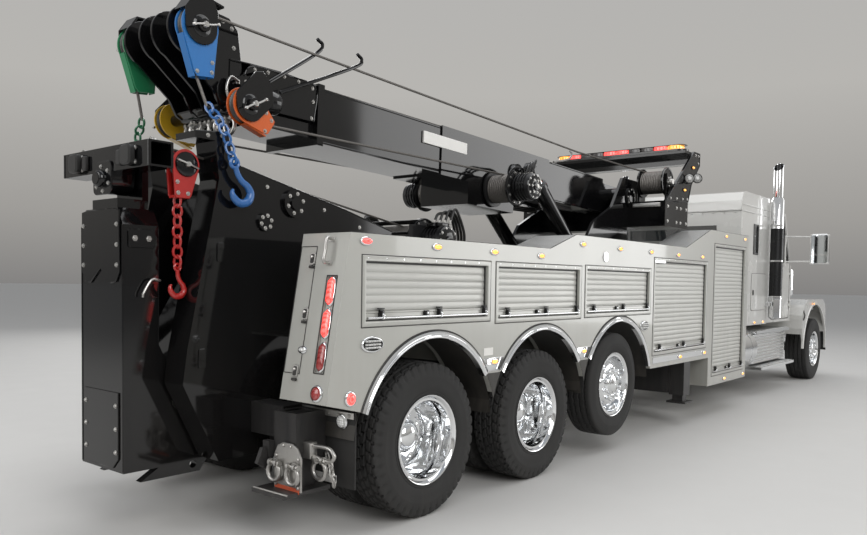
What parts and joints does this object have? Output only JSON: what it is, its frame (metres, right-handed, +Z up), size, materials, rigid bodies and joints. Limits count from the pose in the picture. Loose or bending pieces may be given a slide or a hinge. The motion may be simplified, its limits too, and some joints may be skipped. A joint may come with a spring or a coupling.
{
  "type": "rotator tow truck",
  "caption": "Heavy tow truck with a slewing telescopic recovery boom, a folding rear underlift, outriggers and locker bodies on a long conventional chassis.",
  "frame": {"origin": "on the road under the middle of the vehicle's length and width", "axes": "+X forward, +Y to the driver's left, +Z up"},
  "size_m": [13.02, 3.4, 3.4142],
  "materials": {
    "frame_black": "satin",
    "gloss_black": "gloss",
    "cab_white": "gloss",
    "body_silver": "gloss",
    "chrome": "polished",
    "rubber": "matte",
    "tyre": "matte",
    "glass": "polished",
    "interior": "matte",
    "amber": "gloss",
    "red": "gloss",
    "blue": "gloss",
    "orange": "gloss"
  },
  "bodies": {
    "chassis": {"chassis_frame": "frame_black", "driveline": "frame_black", "mud_flaps": "rubber", "bumper": "chrome", "cab_shell": "cab_white", "cab_glass": "glass", "cab_interior": "interior", "exhaust_stacks": "chrome", "tanks_steps": "chrome", "body_boxes": "body_silver", "shutters": "body_silver", "arch_trims": "chrome", "marker_lamps": "amber", "mast": "gloss_black", "mast_sheave": "red", "drag_winch": "frame_black"},
    "hood": {"hood_shell": "cab_white", "hood_bright": "chrome"},
    "turret": {"turret_frame": "gloss_black", "light_bar": "amber"},
    "boom_outer": {"boom_base": "gloss_black", "boom_winches": "frame_black"},
    "boom_middle": {"boom_mid": "gloss_black"},
    "boom_inner": {"boom_tip": "gloss_black", "upper_sheaves": "blue", "lower_sheaves": "orange"},
    "lift_cylinder_barrels": {"lift_barrels": "gloss_black"},
    "lift_cylinder_rods": {"lift_rods": "chrome"},
    "underlift_arm": {"lift_arm": "gloss_black"},
    "stinger": {"stinger_outer": "gloss_black"},
    "stinger_slide": {"stinger_inner": "gloss_black"},
    "tow_bar": {"crossbar": "gloss_black"},
    "door_body_left": {"door_left": "cab_white", "door_glass_left": "glass"},
    "knuckle_body_left": {"knuckle_left": "frame_black"},
    "wheel_steer_left": {"tyre_steer_left": "tyre", "rim_steer_left": "chrome"},
    "wheel_lift_axle_left": {"tyre_lift_axle_left": "tyre", "rim_lift_axle_left": "chrome"},
    "wheels_rear_left": {"tyres_rear_left": "tyre", "rims_rear_left": "chrome"},
    "wheels_middle_left": {"tyres_middle_left": "tyre", "rims_middle_left": "chrome"},
    "outrigger_left": {"outrigger_beam_left": "frame_black"},
    "outrigger_foot_left": {"outrigger_leg_left": "gloss_black"},
    "jack_left": {"rear_jack_left": "frame_black"},
    "door_body_right": {"door_right": "cab_white", "door_glass_right": "glass"},
    "knuckle_body_right": {"knuckle_right": "frame_black"},
    "wheel_steer_right": {"tyre_steer_right": "tyre", "rim_steer_right": "chrome"},
    "wheel_lift_axle_right": {"tyre_lift_axle_right": "tyre", "rim_lift_axle_right": "chrome"},
    "wheels_rear_right": {"tyres_rear_right": "tyre", "rims_rear_right": "chrome"},
    "wheels_middle_right": {"tyres_middle_right": "tyre", "rims_middle_right": "chrome"},
    "outrigger_right": {"outrigger_beam_right": "frame_black"},
    "outrigger_foot_right": {"outrigger_leg_right": "gloss_black"},
    "jack_right": {"rear_jack_right": "frame_black"}
  },
  "joints": [
    {"name": "door_left_hinge", "type": "hinge", "parent": "chassis", "child": "door_body_left", "pos_m": [4.562, 1.071, 1.5], "axis": [0, 0, -1], "range_deg": [0, 65]},
    {"name": "steer_left", "type": "hinge", "parent": "chassis", "child": "knuckle_body_left", "pos_m": [5.65, 0.8, 0.525], "axis": [0, 0, 1], "range_deg": [-32, 32]},
    {"name": "spin_steer_left", "type": "hinge", "parent": "knuckle_body_left", "child": "wheel_steer_left", "pos_m": [5.65, 1.035, 0.525], "axis": [0, 1, 0], "continuous": true},
    {"name": "spin_lift_axle_left", "type": "hinge", "parent": "chassis", "child": "wheel_lift_axle_left", "pos_m": [-2.09, 1.11, 0.64], "axis": [0, 1, 0], "continuous": true},
    {"name": "spin_rear_left", "type": "hinge", "parent": "chassis", "child": "wheels_rear_left", "pos_m": [-4.85, 0.947, 0.525], "axis": [0, 1, 0], "continuous": true},
    {"name": "spin_middle_left", "type": "hinge", "parent": "chassis", "child": "wheels_middle_left", "pos_m": [-3.47, 0.947, 0.525], "axis": [0, 1, 0], "continuous": true},
    {"name": "outrigger_left_slide", "type": "slide", "parent": "chassis", "child": "outrigger_left", "axis": [0, 1, 0], "range_m": [0, 1.2]},
    {"name": "outrigger_left_leg", "type": "slide", "parent": "outrigger_left", "child": "outrigger_foot_left", "axis": [0, 0, -1], "range_m": [0, 0.24]},
    {"name": "rear_jack_left_slide", "type": "slide", "parent": "chassis", "child": "jack_left", "axis": [0, 0, -1], "range_m": [0, 0.29]},
    {"name": "door_right_hinge", "type": "hinge", "parent": "chassis", "child": "door_body_right", "pos_m": [4.562, -1.071, 1.5], "axis": [0, 0, 1], "range_deg": [0, 65]},
    {"name": "steer_right", "type": "hinge", "parent": "chassis", "child": "knuckle_body_right", "pos_m": [5.65, -0.8, 0.525], "axis": [0, 0, 1], "range_deg": [-32, 32]},
    {"name": "spin_steer_right", "type": "hinge", "parent": "knuckle_body_right", "child": "wheel_steer_right", "pos_m": [5.65, -1.035, 0.525], "axis": [0, 1, 0], "continuous": true},
    {"name": "spin_lift_axle_right", "type": "hinge", "parent": "chassis", "child": "wheel_lift_axle_right", "pos_m": [-2.09, -1.11, 0.64], "axis": [0, 1, 0], "continuous": true},
    {"name": "spin_rear_right", "type": "hinge", "parent": "chassis", "child": "wheels_rear_right", "pos_m": [-4.85, -0.947, 0.525], "axis": [0, 1, 0], "continuous": true},
    {"name": "spin_middle_right", "type": "hinge", "parent": "chassis", "child": "wheels_middle_right", "pos_m": [-3.47, -0.947, 0.525], "axis": [0, 1, 0], "continuous": true},
    {"name": "outrigger_right_slide", "type": "slide", "parent": "chassis", "child": "outrigger_right", "axis": [0, -1, 0], "range_m": [0, 1.2]},
    {"name": "outrigger_right_leg", "type": "slide", "parent": "outrigger_right", "child": "outrigger_foot_right", "axis": [0, 0, -1], "range_m": [0, 0.24]},
    {"name": "rear_jack_right_slide", "type": "slide", "parent": "chassis", "child": "jack_right", "axis": [0, 0, -1], "range_m": [0, 0.29]},
    {"name": "hood_tilt", "type": "hinge", "parent": "chassis", "child": "hood", "pos_m": [6.38, 0, 0.8], "axis": [0, 1, 0], "range_deg": [0, 50]},
    {"name": "slew", "type": "hinge", "parent": "chassis", "child": "turret", "pos_m": [-0.95, 0, 1.22], "axis": [0, 0, 1], "range_deg": [-110, 110]},
    {"name": "boom_lift", "type": "hinge", "parent": "turret", "child": "boom_outer", "pos_m": [-0.25, 0, 2.62], "axis": [0, 1, 0], "range_deg": [0, 50]},
    {"name": "boom_extend", "type": "slide", "parent": "boom_outer", "child": "boom_middle", "axis": [-0.9994, 0, 0.0358], "range_m": [0, 2.4]},
    {"name": "boom_tip_extend", "type": "slide", "parent": "boom_middle", "child": "boom_inner", "axis": [-0.9994, 0, 0.0358], "range_m": [0, 2.4]},
    {"name": "lift_cylinder_tilt", "type": "hinge", "parent": "turret", "child": "lift_cylinder_barrels", "pos_m": [-0.92, 0, 1.57], "axis": [0, 1, 0], "range_deg": [0, 37.77]},
    {"name": "lift_cylinder_rod", "type": "slide", "parent": "lift_cylinder_barrels", "child": "lift_cylinder_rods", "axis": [-0.7621, 0, 0.6475], "range_m": [0, 0.947]},
    {"name": "underlift_raise", "type": "hinge", "parent": "chassis", "child": "underlift_arm", "pos_m": [-5.38, 0, 2.1], "axis": [0, 1, 0], "range_deg": [0, 25]},
    {"name": "stinger_fold", "type": "hinge", "parent": "underlift_arm", "child": "stinger", "pos_m": [-6.09, 0, 0.82], "axis": [0, -1, 0], "range_deg": [0, 95]},
    {"name": "stinger_extend", "type": "slide", "parent": "stinger", "child": "stinger_slide", "axis": [0, 0, 1], "range_m": [0, 1.1]},
    {"name": "tow_bar_swing", "type": "hinge", "parent": "stinger_slide", "child": "tow_bar", "pos_m": [-6.38, 0, 2.18], "axis": [1, 0, 0], "range_deg": [-35, 35]}
  ],
  "couplings": [
    {"joint": "steer_right", "follows": "steer_left", "ratio": 1},
    {"joint": "boom_tip_extend", "follows": "boom_extend", "ratio": 1},
    {"joint": "lift_cylinder_tilt", "follows": "boom_lift", "ratio": 0.75524},
    {"joint": "lift_cylinder_rod", "follows": "boom_lift", "m_per_rad": 1.084}
  ]
}
